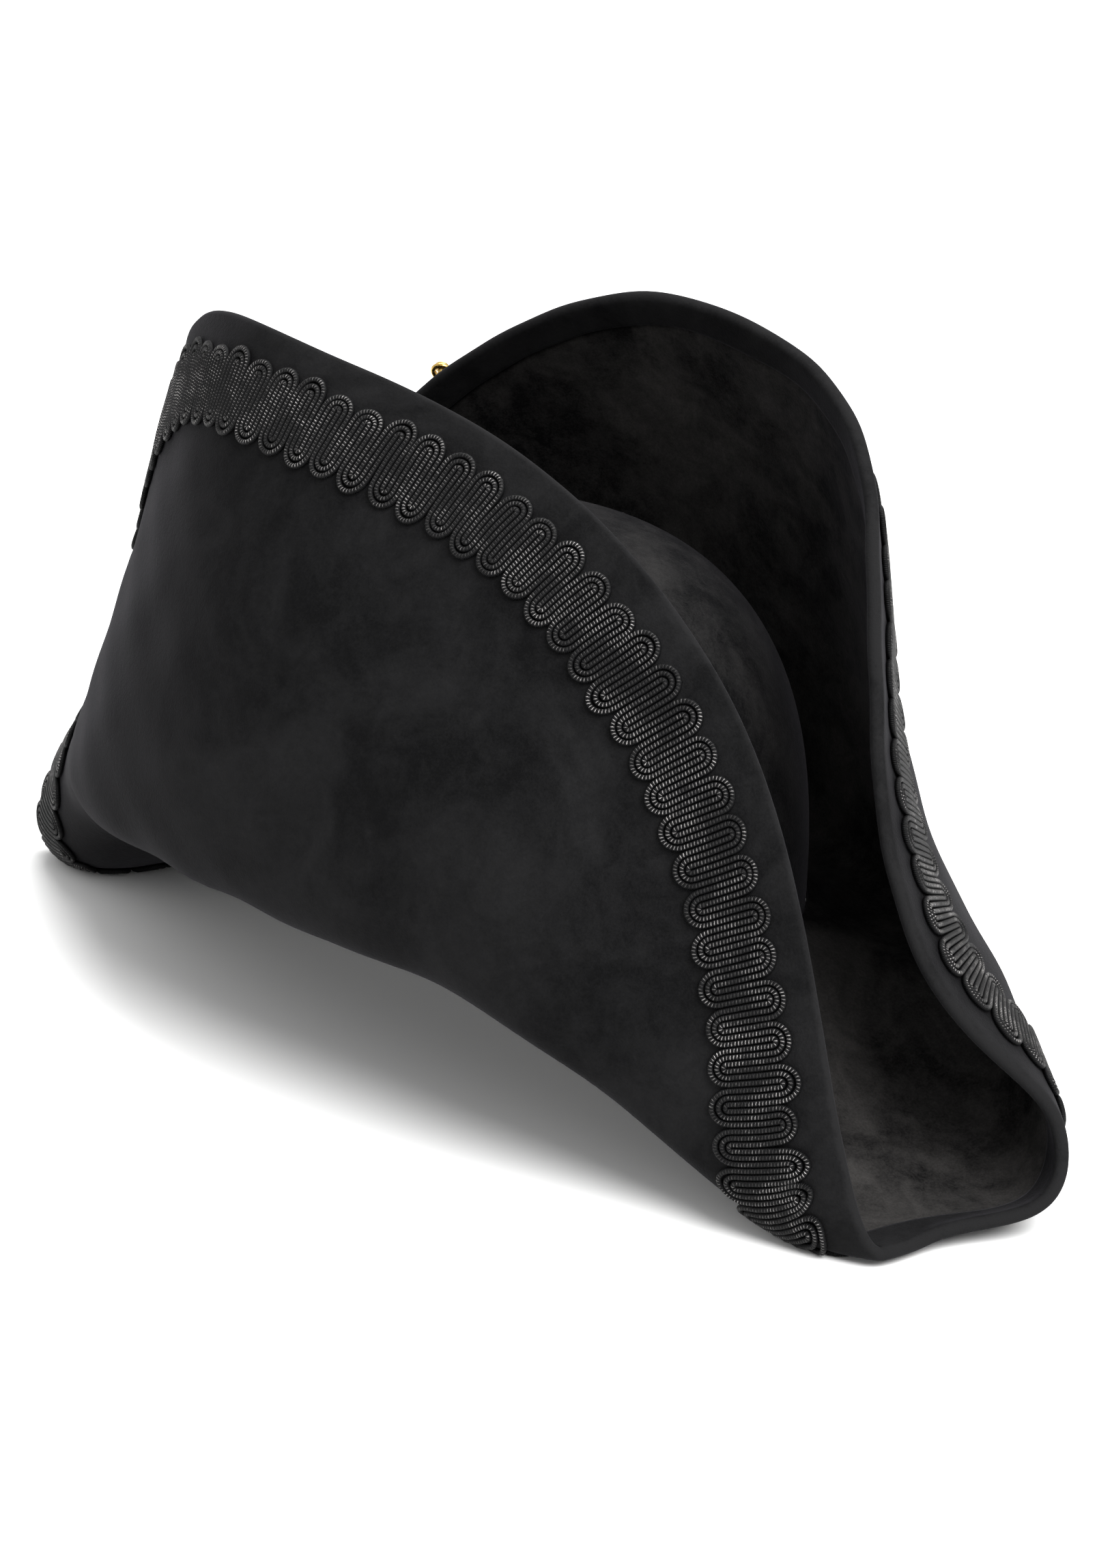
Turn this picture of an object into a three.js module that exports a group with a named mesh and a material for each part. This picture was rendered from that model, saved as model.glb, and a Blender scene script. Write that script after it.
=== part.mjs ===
// A felt bicorne hat: an oval crown, one sheet of brim turned up into two panels that meet in two
// drooping horns, a looped braid along the rim, and a short chain at one shoulder of the back panel.
// Millimetres, +Z up, horns along X, back panel towards +Y. The origin lies on the surface that the
// hat rests on, under the middle of its outline.
import * as THREE from 'three';

// Driving dimensions
const HEAD_LENGTH = 197;        // opening in the brim along X
const HEAD_WIDTH = 162;         // opening in the brim along Y
const CROWN_HEIGHT = 108.5;     // crown above the brim's upper face
const CROWN_FULLNESS = 2.68;    // 2 gives an ellipse in profile, more gives squarer shoulders
const FELT = 2.4;               // thickness of the felt
const HEM_WIDTH = 12;           // edge turned over on the inner face
const HEM_RISE = 1.2;           // how much thicker the felt is there
const BRAID_MARGIN = 10;        // bare felt between the rim and the braid
const BRAID_WIDTH = 28.5;       // braid at the tips of its loops
const BRAID_THICKNESS = 2;
const LOOP_PITCH = 11;          // from one loop of the braid to the next
const LOOP_DEPTH = 3.5;         // how far the loops stand out past the braid's straight body
const CLEARANCE = 0.3;          // between pieces that touch
const BRAID_CLEARANCE = 0.85;   // the same under the braid, where both faces twist
const CROWN_LIFT = 51.3;        // the brim's opening above the surface
const FLAT_EASE = 0.8;          // height over which the flattened tips blend into the curved brim
const LINK_LENGTH = 10;
const LINK_WIDTH = 7;
const LINK_WIRE = 1.8;
const LINK_COUNT = 4;
const STUD_DIAMETER = 2;
const CHAIN_STATION = 124.5;    // degrees round the brim from the right horn
const CHAIN_DEPTH = 4.5;        // below the rim

// Fineness of the faceted solids
const BRIM_SECTIONS = 108;
const CROWN_SIDES = 40;
const SECTION_STEPS = 60;
const LOOP_FACETS = 2;

// Names the columns of a table
function table(columns, rows) {
  const names = columns.split(' ');
  return rows.map((row) => Object.fromEntries(names.map((name, i) => [name, row[i]])));
}

// The brim's section every 15 degrees, from the right horn round the back panel to the left horn.
// Each is a curve from the opening out to the fold, up past the belly and in to the rim, with z
// measured from the opening. The front half is this half turned through 180 degrees.
const SECTIONS = table('rimX rimY rimZ foldX foldY foldZ bellyX bellyY bellyZ', [
  [199, 1, -44, 132, -8, -26, 169, 7, -60],
  [204, 25, -41, 130, 30, -25, 168, 47, -60],
  [196, 31, -21, 121, 65, -22, 155, 74, -23],
  [176, 17, 28, 105, 95, -22, 132, 95, 12],
  [151, 23, 89, 76, 109, -19, 95, 100, 44],
  [108, 43, 145, 40, 112, -15, 49, 100, 68],
  [47, 55, 162, 1, 111, -10, -1, 100, 82],
  [-15, 48, 157, -37, 107, -10, -54, 98, 79],
  [-74, 36, 133, -71, 99, -12, -95, 93, 56],
  [-125, 27, 88, -98, 89, -20, -124, 84, 16],
  [-163, 28, 28, -117, 72, -27, -148, 64, -26],
  [-191, 24, -37, -128, 43, -27, -162, 38, -59],
]);

// How far wear has pulled the rim out of that even shape, every 15 degrees all the way round. The
// belly follows by half as much.
const WEAR = table('x y z', [
  [0, -2, -3], [4, 4, 0], [5, 5, 4], [7, -4, -16], [1, -13, -26], [0, -5, -9],
  [2, 2, 1], [0, 3, 10], [-2, 0, 6], [-2, -1, 3], [0, 1, 1], [3, 2, -2],
  [5, 0, -5], [-2, -12, -2], [-3, 0, 11], [0, 2, 6], [-1, -1, 3], [2, -5, 3],
  [0, -4, -3], [-4, 4, -8], [-4, 4, -4], [3, 3, -3], [6, 1, -7], [5, -3, -5],
]);

const FELT_MATERIAL = new THREE.MeshStandardMaterial({ color: 0x232326, roughness: 0.95, metalness: 0 });
const BRAID_MATERIAL = new THREE.MeshStandardMaterial({ color: 0x1b1b1d, roughness: 0.45, metalness: 0.3 });
const GOLD_MATERIAL = new THREE.MeshStandardMaterial({ color: 0xd6b24a, roughness: 0.3, metalness: 1 });

// Surfaces made of rings of points

function geometryFrom(points, triangles) {
  const geometry = new THREE.BufferGeometry();
  const positions = points.flatMap((point) => [point.x, point.y, point.z]);
  geometry.setAttribute('position', new THREE.Float32BufferAttribute(positions, 3));
  geometry.setIndex(triangles);
  geometry.computeVertexNormals();
  return geometry;
}

// A body whose rings each close on themselves and whose last ring joins the first
function ringBody(rings) {
  const sides = rings[0].length;
  const triangles = [];
  rings.forEach((ring, i) => {
    const here = i * sides;
    const next = ((i + 1) % rings.length) * sides;
    for (let j = 0; j < sides; j += 1) {
      const k = (j + 1) % sides;
      triangles.push(here + j, next + j, next + k, here + j, next + k, here + k);
    }
  });
  return geometryFrom(rings.flat(), triangles);
}

// A body whose rings run from one pole to the other
function poleBody(firstPole, rings, lastPole) {
  const sides = rings[0].length;
  const points = [firstPole, ...rings.flat(), lastPole];
  const last = points.length - 1;
  const triangles = [];
  for (let j = 0; j < sides; j += 1) {
    const k = (j + 1) % sides;
    triangles.push(0, 1 + j, 1 + k);
    for (let i = 0; i + 1 < rings.length; i += 1) {
      const here = 1 + i * sides;
      const next = here + sides;
      triangles.push(here + j, next + j, next + k, here + j, next + k, here + k);
    }
    const end = 1 + (rings.length - 1) * sides;
    triangles.push(end + j, last, end + k);
  }
  return geometryFrom(points, triangles);
}

// The brim's outer face

function halfTurn(point) {
  return new THREE.Vector3(-point.x, -point.y, point.z);
}

// A smooth closed line through one point every 15 degrees
function lineRound(pointOf) {
  const half = SECTIONS.map(pointOf);
  return [...half, ...half.map(halfTurn)];
}

function smoothLoop(points) {
  return new THREE.CatmullRomCurve3(points, true, 'catmullrom', 0.5);
}

function worn(points, share) {
  return points.map((point, i) => point.clone().addScaledVector(WEAR[i], share));
}

const FOLD_LINE = smoothLoop(lineRound((row) => new THREE.Vector3(row.foldX, row.foldY, row.foldZ)));
const BELLY_LINE = smoothLoop(
  worn(lineRound((row) => new THREE.Vector3(row.bellyX, row.bellyY, row.bellyZ)), 0.5),
);
const RIM_LINE = smoothLoop(worn(lineRound((row) => new THREE.Vector3(row.rimX, row.rimY, row.rimZ)), 1));

function openingPoint(degrees) {
  const angle = THREE.MathUtils.degToRad(degrees);
  return new THREE.Vector3((HEAD_LENGTH / 2) * Math.cos(angle), (HEAD_WIDTH / 2) * Math.sin(angle), 0);
}

// Felt that would lie lower than the braid's thickness above the surface is pressed flat
const FLAT_HEIGHT = BRAID_THICKNESS + BRAID_CLEARANCE;

function pressed(z) {
  const above = z - FLAT_HEIGHT + FLAT_EASE;
  if (above <= 0) return FLAT_HEIGHT;
  return above < 2 * FLAT_EASE ? FLAT_HEIGHT + above ** 2 / (4 * FLAT_EASE) : z;
}

// Points from the opening to the rim at one angle, with the distance still to go to the rim
function brimSection(degrees) {
  const turn = (((degrees % 360) + 360) % 360) / 360;
  const curve = new THREE.CubicBezierCurve3(
    openingPoint(degrees), FOLD_LINE.getPoint(turn), BELLY_LINE.getPoint(turn), RIM_LINE.getPoint(turn),
  );
  const points = curve.getPoints(SECTION_STEPS);
  points.forEach((point) => { point.z = pressed(point.z + CROWN_LIFT); });
  const toRim = new Array(points.length).fill(0);
  for (let i = points.length - 2; i >= 0; i -= 1) {
    toRim[i] = toRim[i + 1] + points[i].distanceTo(points[i + 1]);
  }
  return { points, toRim };
}

// The point a given distance from the rim along a section
function alongSection(section, distance) {
  const { points, toRim } = section;
  const wanted = THREE.MathUtils.clamp(distance, 0, toRim[0]);
  let i = points.length - 2;
  while (i > 0 && toRim[i] < wanted) i -= 1;
  const share = (toRim[i] - wanted) / (toRim[i] - toRim[i + 1]);
  return points[i].clone().lerp(points[i + 1], share);
}

// A section with its neighbours a small turn to each side, for the outward direction
const PROBE = 0.5;     // degrees round the brim, and mm along a section

function sectionsAt(degrees) {
  return {
    middle: brimSection(degrees),
    before: brimSection(degrees - PROBE),
    after: brimSection(degrees + PROBE),
  };
}

const STEP = 360 / BRIM_SECTIONS;
const brimSections = Array.from({ length: BRIM_SECTIONS }, (_, i) => sectionsAt(i * STEP));

// The outer face's point and outward direction at a distance from the rim
function outerAt({ middle, before, after }, distance) {
  const length = middle.toRim[0];
  const inner = Math.min(distance + PROBE, length);
  const along = alongSection(middle, inner - 2 * PROBE).sub(alongSection(middle, inner));
  const share = distance / length;
  const round = alongSection(after, share * after.toRim[0]).sub(alongSection(before, share * before.toRim[0]));
  return { point: alongSection(middle, distance), outward: round.cross(along).normalize() };
}

function insetPoint(sections, distance, depth) {
  const { point, outward } = outerAt(sections, distance);
  return point.addScaledVector(outward, -depth);
}

// Distances from the rim at which the outer face has its vertices, with the braid's own among them
const BRAID_STEPS = 3;
const braidRows = Array.from(
  { length: BRAID_STEPS + 1 },
  (_, i) => BRAID_MARGIN + (i / BRAID_STEPS) * BRAID_WIDTH,
);
const OUTER_SHARES = [1, 0.87, 0.72, 0.56, 0.4, 0.24, 0.1];

function faceDistances(length) {
  const last = braidRows[BRAID_STEPS];
  return OUTER_SHARES.map((share) => last + share * (length - last));
}

// Brim: the outer face from the opening to the rim, round the edge, and back along the inner face
function brimGeometry() {
  const hemDepth = FELT + HEM_RISE;
  const edge = 0.9;
  const rings = brimSections.map((sections) => {
    const faces = faceDistances(sections.middle.toRim[0]);
    const outer = [...faces, ...[...braidRows].reverse()].map((distance) => [distance, 0]);
    const rim = [[edge, 0], [0, edge], [0, hemDepth - edge], [edge, hemDepth]];
    const hem = [[HEM_WIDTH, hemDepth], [HEM_WIDTH + edge, FELT]];
    const inner = [...braidRows.slice(1), ...[...faces].reverse()].map((distance) => [distance, FELT]);
    return [...outer, ...rim, ...hem, ...inner].map(([distance, depth]) => insetPoint(sections, distance, depth));
  });
  return ringBody(rings);
}

// One layer of the braid at a place between two of the brim's sections, from the rim side down. Its
// edge points move along the brim's own facets as the loops swell and shrink.
function braidLayer(place, loop, height) {
  const index = Math.floor(place);
  const rowsAt = (section) => braidRows.map(
    (distance) => insetPoint(brimSections[section % BRIM_SECTIONS], distance, -height),
  );
  const next = rowsAt(index + 1);
  const rows = rowsAt(index).map((point, j) => point.lerp(next[j], place - index));
  const drawnIn = (1 - loop) * LOOP_DEPTH * (BRAID_STEPS / BRAID_WIDTH);
  rows[0].lerp(rows[1], drawnIn);
  rows[BRAID_STEPS].lerp(rows[BRAID_STEPS - 1], drawnIn);
  return rows;
}

// Braid: a band along the rim with looped edges, laid on the facets of the brim
function braidGeometry() {
  const count = Math.round(RIM_LINE.getLength() / LOOP_PITCH) * LOOP_FACETS;
  const rings = Array.from({ length: count }, (_, k) => {
    const place = (k / count) * BRIM_SECTIONS;
    const loop = Math.abs(Math.sin((k / LOOP_FACETS + 0.5) * Math.PI));
    const top = braidLayer(place, loop, BRAID_CLEARANCE + BRAID_THICKNESS);
    top.forEach((point) => { point.z = Math.max(point.z, 0); });
    return [...braidLayer(place, loop, BRAID_CLEARANCE), ...top.reverse()];
  });
  return ringBody(rings);
}

// Crown: a hollow dome whose edge stands in the brim's opening, flush with the felt's lower face
function crownGeometry() {
  const base = CROWN_LIFT;
  const ring = (halfX, halfY, z) => Array.from({ length: CROWN_SIDES }, (_, i) => {
    const angle = (i / CROWN_SIDES) * 2 * Math.PI;
    return new THREE.Vector3(halfX * Math.cos(angle), halfY * Math.sin(angle), z);
  });
  const dome = (inset) => {
    const halfX = HEAD_LENGTH / 2 - CLEARANCE - inset;
    const halfY = HEAD_WIDTH / 2 - CLEARANCE - inset;
    const height = CROWN_HEIGHT - inset;
    const climb = [0, 10, 20, 30, 42, 55, 68, 80];
    return climb.map((degrees) => {
      const angle = THREE.MathUtils.degToRad(degrees);
      const spread = Math.cos(angle) ** (2 / CROWN_FULLNESS);
      return ring(halfX * spread, halfY * spread, base + height * Math.sin(angle) ** (2 / CROWN_FULLNESS));
    });
  };
  const edge = (inset) => ring(
    HEAD_LENGTH / 2 - CLEARANCE - inset, HEAD_WIDTH / 2 - CLEARANCE - inset, base - FELT,
  );
  const outer = [edge(0), ...dome(0)].reverse();
  const inner = [edge(FELT), ...dome(FELT)];
  const top = new THREE.Vector3(0, 0, base + CROWN_HEIGHT);
  const underTop = new THREE.Vector3(0, 0, base + CROWN_HEIGHT - FELT);
  return poleBody(top, [...outer, ...inner], underTop);
}

// One link: a round wire bent into a long ring, its length along X and its flat side facing Z
function linkGeometry() {
  const wire = LINK_WIRE / 2;
  const reach = LINK_WIDTH / 2 - wire;
  const straight = (LINK_LENGTH - LINK_WIDTH) / 2;
  const sides = 6;
  const bendSteps = 6;
  const rings = [];
  [1, -1].forEach((end) => {
    for (let i = 0; i <= bendSteps; i += 1) {
      const angle = (end / 2 - i / bendSteps) * Math.PI;
      const out = new THREE.Vector3(Math.cos(angle), Math.sin(angle), 0);
      const centre = new THREE.Vector3(end * straight, 0, 0).addScaledVector(out, reach);
      rings.push(Array.from({ length: sides }, (_, j) => {
        const round = (j / sides) * 2 * Math.PI;
        return centre.clone()
          .addScaledVector(out, wire * Math.cos(round))
          .add(new THREE.Vector3(0, 0, -wire * Math.sin(round)));
      }));
    }
  });
  return ringBody(rings);
}

function named(name, geometry, material) {
  const mesh = new THREE.Mesh(geometry, material);
  mesh.name = name;
  return mesh;
}

// The chain's own frame: Y out of the panel, X down the panel, at the stud
function chainFrame() {
  const sections = sectionsAt(CHAIN_STATION);
  const { point, outward } = outerAt(sections, CHAIN_DEPTH);
  const down = alongSection(sections.middle, CHAIN_DEPTH + 20)
    .sub(point).projectOnPlane(outward).normalize();
  const frame = new THREE.Group();
  frame.position.copy(point);
  frame.quaternion.setFromRotationMatrix(
    new THREE.Matrix4().makeBasis(down, outward, down.clone().cross(outward)),
  );
  return frame;
}

// Chain: links that hang one in another from a stud in the margin above the braid
function chain() {
  const frame = chainFrame();
  const offFace = BRAID_CLEARANCE + BRAID_THICKNESS + CLEARANCE + LINK_WIDTH / 2;
  const pitch = LINK_LENGTH - 2 * LINK_WIRE - CLEARANCE;
  const firstCentre = LINK_LENGTH / 2 - LINK_WIRE - STUD_DIAMETER / 2 - CLEARANCE;
  for (let i = 0; i < LINK_COUNT; i += 1) {
    const link = named(`chain_link_${i + 1}`, linkGeometry(), GOLD_MATERIAL);
    link.position.set(firstCentre + i * pitch, offFace, 0);
    link.rotation.x = i % 2 === 0 ? Math.PI / 2 : 0;
    frame.add(link);
  }
  const shank = STUD_DIAMETER / 2;
  const headRadius = 2.4;
  const headBase = offFace + LINK_WIRE / 2 + CLEARANCE;
  const profile = [[0, CLEARANCE], [shank, CLEARANCE], [shank, headBase], [headRadius, headBase],
    [headRadius, headBase + 0.8], [0, headBase + 1.2]].map(([radius, height]) => new THREE.Vector2(radius, height));
  frame.add(named('chain_stud', new THREE.LatheGeometry(profile, 10), GOLD_MATERIAL));
  return frame;
}

const hat = new THREE.Group();
hat.add(
  named('crown', crownGeometry(), FELT_MATERIAL),
  named('brim', brimGeometry(), FELT_MATERIAL),
  named('braid_trim', braidGeometry(), BRAID_MATERIAL),
  chain(),
);

// The pieces are made round the crown's axis, which lies a little off the middle of the outline
const middle = new THREE.Box3().setFromObject(hat, true).getCenter(new THREE.Vector3());
hat.position.set(-middle.x, -middle.y, 0);

export default hat;
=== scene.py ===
"""A felt bicorne hat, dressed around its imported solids.

Metres, +Z up, horns along X, back panel towards +Y, standing on z = 0. Turns run round the brim from
the right horn (0) past the middle of the back panel (a quarter) to the left horn (a half) and back.
"""
import math

import bpy
import numpy as np
from mathutils import Matrix, Vector


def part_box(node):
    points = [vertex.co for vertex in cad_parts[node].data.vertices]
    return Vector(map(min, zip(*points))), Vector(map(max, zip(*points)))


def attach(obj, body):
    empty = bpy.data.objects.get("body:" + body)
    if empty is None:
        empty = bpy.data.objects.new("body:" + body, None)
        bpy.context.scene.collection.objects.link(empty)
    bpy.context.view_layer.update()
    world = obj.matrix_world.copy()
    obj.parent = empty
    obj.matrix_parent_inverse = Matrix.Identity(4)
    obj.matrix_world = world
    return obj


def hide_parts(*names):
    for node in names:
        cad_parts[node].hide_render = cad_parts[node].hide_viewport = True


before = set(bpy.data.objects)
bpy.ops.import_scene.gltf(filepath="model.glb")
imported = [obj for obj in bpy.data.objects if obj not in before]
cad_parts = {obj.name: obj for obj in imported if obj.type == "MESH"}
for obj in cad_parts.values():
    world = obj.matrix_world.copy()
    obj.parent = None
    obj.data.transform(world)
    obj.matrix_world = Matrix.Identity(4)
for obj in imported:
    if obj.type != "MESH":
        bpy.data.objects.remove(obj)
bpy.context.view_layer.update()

bl_info = {
    "name": "Bicorne hat",
    "version": (1, 0, 0),
    "blender": (4, 5, 0),
    "location": "View3D > Sidebar > Hat",
    "description": "Makes a felt bicorne with its looped braid and gold chain",
    "category": "Mesh",
}

MM = 0.001

# Millimetres from the crown's axis and the opening in the brim. A row every 15 degrees from the right
# horn to the left horn: rim x y z, fold x y z, belly x y z. The front half is this half turned round.
SECTIONS = MM * np.array([
    [199, 1, -44, 132, -8, -26, 169, 7, -60],
    [204, 25, -41, 130, 30, -25, 168, 47, -60],
    [196, 31, -21, 121, 65, -22, 155, 74, -23],
    [176, 17, 28, 105, 95, -22, 132, 95, 12],
    [151, 23, 89, 76, 109, -19, 95, 100, 44],
    [108, 43, 145, 40, 112, -15, 49, 100, 68],
    [47, 55, 162, 1, 111, -10, -1, 100, 82],
    [-15, 48, 157, -37, 107, -10, -54, 98, 79],
    [-74, 36, 133, -71, 99, -12, -95, 93, 56],
    [-125, 27, 88, -98, 89, -20, -124, 84, 16],
    [-163, 28, 28, -117, 72, -27, -148, 64, -26],
    [-191, 24, -37, -128, 43, -27, -162, 38, -59],
])

# How far wear has pulled the rim out of that even shape (x y z), every 15 degrees all the way round
WEAR = MM * np.array([
    [0, -2, -3], [4, 4, 0], [5, 5, 4], [7, -4, -16], [1, -13, -26], [0, -5, -9],
    [2, 2, 1], [0, 3, 10], [-2, 0, 6], [-2, -1, 3], [0, 1, 1], [3, 2, -2],
    [5, 0, -5], [-2, -12, -2], [-3, 0, 11], [0, 2, 6], [-1, -1, 3], [2, -5, 3],
    [0, -4, -3], [-4, 4, -8], [-4, 4, -4], [3, 3, -3], [6, 1, -7], [5, -3, -5],
])

SECTION_STEPS = 120        # samples along a section for its length
PROBE_TURN = 0.5 / 360     # the small steps that give the direction out of the felt
PROBE_LENGTH = 0.5 * MM
FLAT_EASE = 0.8 * MM       # how softly the felt rounds into the part that is pressed flat
CORD_GAP = 0.1 * MM        # between a cord of the braid and the felt
FLOOR_GAP = 0.05 * MM      # between the floor and the braid's cords under the horns
DENT_DEPTH = 0.45 * MM     # of the felt's soft dents, which grow from nothing between these heights
DENT_LOW, DENT_HIGH = 12 * MM, 42 * MM


# Sizes and colours

class FeltSettings(bpy.types.PropertyGroup):
    """The felt of the crown and the brim"""
    opening_length: bpy.props.FloatProperty(
        name="Opening length", description="Opening in the brim along the horns",
        default=0.197, unit="LENGTH")
    opening_width: bpy.props.FloatProperty(
        name="Opening width", description="Opening in the brim from front to back",
        default=0.162, unit="LENGTH")
    crown_height: bpy.props.FloatProperty(
        name="Crown height", description="Crown above the brim", default=0.1085, unit="LENGTH")
    crown_fullness: bpy.props.FloatProperty(
        name="Crown fullness", description="2 is an ellipse in profile, more gives squarer shoulders",
        default=2.68)
    thickness: bpy.props.FloatProperty(
        name="Thickness", description="Thickness of the felt", default=0.0024, unit="LENGTH")
    hem_width: bpy.props.FloatProperty(
        name="Hem width", description="Edge turned over on the inner face", default=0.012, unit="LENGTH")
    hem_rise: bpy.props.FloatProperty(
        name="Hem rise", description="How much thicker the felt is at the hem",
        default=0.0016, unit="LENGTH")
    colour: bpy.props.FloatVectorProperty(
        name="Felt colour", description="The nap where it lies smooth",
        subtype="COLOR", default=(0.0024, 0.0024, 0.0026))
    brushed: bpy.props.FloatVectorProperty(
        name="Brushed colour", description="The nap where it is brushed up",
        subtype="COLOR", default=(0.0106, 0.0105, 0.0109))
    # The inner face's colour is painted light: a lighter, warmer copy of the same felt for the light and
    # sheen the inner face catches.
    inner_painted_light: bpy.props.FloatVectorProperty(
        name="Inner face's colour", description="The nap of the inner face where it is brushed up",
        subtype="COLOR", default=(0.0360, 0.0342, 0.0330))
    lint: bpy.props.FloatVectorProperty(
        name="Lint colour", description="The few pale specks caught in the nap",
        subtype="COLOR", default=(0.30, 0.28, 0.27))


class BraidSettings(bpy.types.PropertyGroup):
    """The looped braid along the rim"""
    margin: bpy.props.FloatProperty(
        name="Margin", description="Bare felt between the rim and the braid",
        default=0.010, unit="LENGTH")
    width: bpy.props.FloatProperty(
        name="Width", description="Braid at the tips of its loops", default=0.0285, unit="LENGTH")
    pitch: bpy.props.FloatProperty(
        name="Loop pitch", description="From one loop to the next", default=0.011, unit="LENGTH")
    cord: bpy.props.FloatProperty(
        name="Cord", description="Thickness of one of its three cords", default=0.0018, unit="LENGTH")
    twist: bpy.props.FloatProperty(
        name="Twist", description="Length of one turn of the thread round a cord",
        default=0.00095, unit="LENGTH")
    colour: bpy.props.FloatVectorProperty(
        name="Thread colour", description="The black thread",
        subtype="COLOR", default=(0.0018, 0.0018, 0.0021))
    glint: bpy.props.FloatVectorProperty(
        name="Glint colour", description="The metal thread twisted with it",
        subtype="COLOR", default=(0.50, 0.48, 0.47))


class ChainSettings(bpy.types.PropertyGroup):
    """The short gold chain and its stud"""
    wire: bpy.props.FloatProperty(
        name="Wire", description="Thickness of a link's wire", default=0.0018, unit="LENGTH")
    colour: bpy.props.FloatVectorProperty(
        name="Gold colour", description="The plated metal", subtype="COLOR", default=(0.83, 0.56, 0.17))


class StageSettings(bpy.types.PropertyGroup):
    """The floor, the lights and the camera"""
    floor_colour: bpy.props.FloatVectorProperty(
        name="Floor colour", description="The plain pale floor",
        subtype="COLOR", default=(0.94, 0.94, 0.935))
    sky: bpy.props.FloatProperty(
        name="Sky strength", description="Even light from all round", default=0.9)
    key_power: bpy.props.FloatProperty(
        name="Key light", description="Power of the large light above", default=52.0, unit="POWER")


# The brim's outer face

def smooth_ring(points, turns):
    """A closed line through evenly spaced points.

    Each gap is a cubic of the turn. The slopes at the points solve the ring of equations
    before + 4 here + after = 3 (next point - previous point), so that the curvature runs on.
    """
    count = len(points)
    unit = np.eye(count)
    ring = 4 * unit + np.roll(unit, 1, 0) + np.roll(unit, -1, 0)
    slopes = np.linalg.solve(ring, 3 * (np.roll(points, -1, 0) - np.roll(points, 1, 0)))
    place = (np.asarray(turns) % 1.0) * count
    first = place.astype(int) % count
    second = (first + 1) % count
    part = (place - np.floor(place))[..., None]
    rise = points[second] - points[first]
    square = 3 * rise - 2 * slopes[first] - slopes[second]
    cube = slopes[first] + slopes[second] - 2 * rise
    return points[first] + part * (slopes[first] + part * (square + part * cube))


class BrimFace:
    """The brim's outer face as a function of the turn and the distance from the rim."""

    def __init__(self, felt, braid):
        crown_low, crown_high = (np.array(corner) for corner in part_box("crown"))
        self.axis = (crown_low + crown_high) / 2
        self.lift = crown_low[2] + felt.thickness
        self.opening = np.array([felt.opening_length, felt.opening_width]) / 2
        self.rest = braid.cord + 2 * CORD_GAP + FLOOR_GAP
        half_turn = np.array([-1, -1, 1])
        lines = []
        for columns, share in ((slice(3, 6), 0), (slice(6, 9), 0.5), (slice(0, 3), 1)):
            half = SECTIONS[:, columns]
            lines.append(np.concatenate([half, half * half_turn]) + share * WEAR)
        self.lines = lines

    def controls(self, turns):
        """Four points per section: on the opening's ellipse, the fold, the belly and the rim."""
        angle = 2 * math.pi * np.asarray(turns)
        start = np.stack([self.opening[0] * np.cos(angle), self.opening[1] * np.sin(angle), 0 * angle], -1)
        return np.stack([start] + [smooth_ring(line, turns) for line in self.lines], -2)

    def place(self, controls, share):
        """The cubic Bezier of the controls at each share of its range, set on the crown's axis and
        lifted, with what would lie lower than the braid's height pressed flat."""
        t = share[..., None]
        a, b, c, d = (controls[..., None, i, :] for i in range(4))
        points = (1 - t) ** 3 * a + 3 * t * (1 - t) ** 2 * b + 3 * t ** 2 * (1 - t) * c + t ** 3 * d
        points = points + np.array([self.axis[0], self.axis[1], self.lift])
        above = points[..., 2] - self.rest + FLAT_EASE
        eased = self.rest + np.clip(above, 0, None) ** 2 / (4 * FLAT_EASE)
        points[..., 2] = np.where(above < 2 * FLAT_EASE, eased, points[..., 2])
        return points

    def to_rim(self, controls):
        """The distance still to go to the rim at evenly spaced shares of each section."""
        shares = np.broadcast_to(np.linspace(0, 1, SECTION_STEPS + 1), (len(controls), SECTION_STEPS + 1))
        steps = np.linalg.norm(np.diff(self.place(controls, shares), axis=1), axis=2)
        left = np.cumsum(steps[:, ::-1], axis=1)[:, ::-1]
        return np.concatenate([left, np.zeros((len(controls), 1))], axis=1)

    def lengths(self, turns):
        return self.to_rim(self.controls(turns))[:, 0]

    def share_at(self, to_rim, wanted):
        """The share of each section that is a wanted distance from the rim."""
        after = np.clip((to_rim[:, :, None] > wanted[:, None, :]).sum(1), 1, SECTION_STEPS)
        near = np.take_along_axis(to_rim, after, 1)
        far = np.take_along_axis(to_rim, after - 1, 1)
        part = np.clip((far - wanted) / (far - near), 0, 1)
        return (after - 1 + part) / SECTION_STEPS

    def at(self, turns, distances):
        """Points of the outer face and the directions out of it, for turns (n) and distances from the
        rim (n, k). The direction is across a small step round the brim and one towards the rim."""
        turns = np.asarray(turns, float)
        controls = self.controls(turns)
        to_rim = self.to_rim(controls)
        length = to_rim[:, :1]
        points = self.place(controls, self.share_at(to_rim, distances))
        inner = np.minimum(distances + PROBE_LENGTH, length)
        outer = np.maximum(inner - 2 * PROBE_LENGTH, 0)
        nearer, farther = (self.place(controls, self.share_at(to_rim, far)) for far in (outer, inner))
        sides = []
        for step in (-PROBE_TURN, PROBE_TURN):
            beside = self.controls(turns + step)
            reach = self.to_rim(beside)
            sides.append(self.place(beside, self.share_at(reach, distances / length * reach[:, :1])))
        outward = np.cross(sides[1] - sides[0], nearer - farther)
        outward /= np.linalg.norm(outward, axis=-1, keepdims=True)
        return points + outward * soft_dents(points)[..., None], outward


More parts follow.
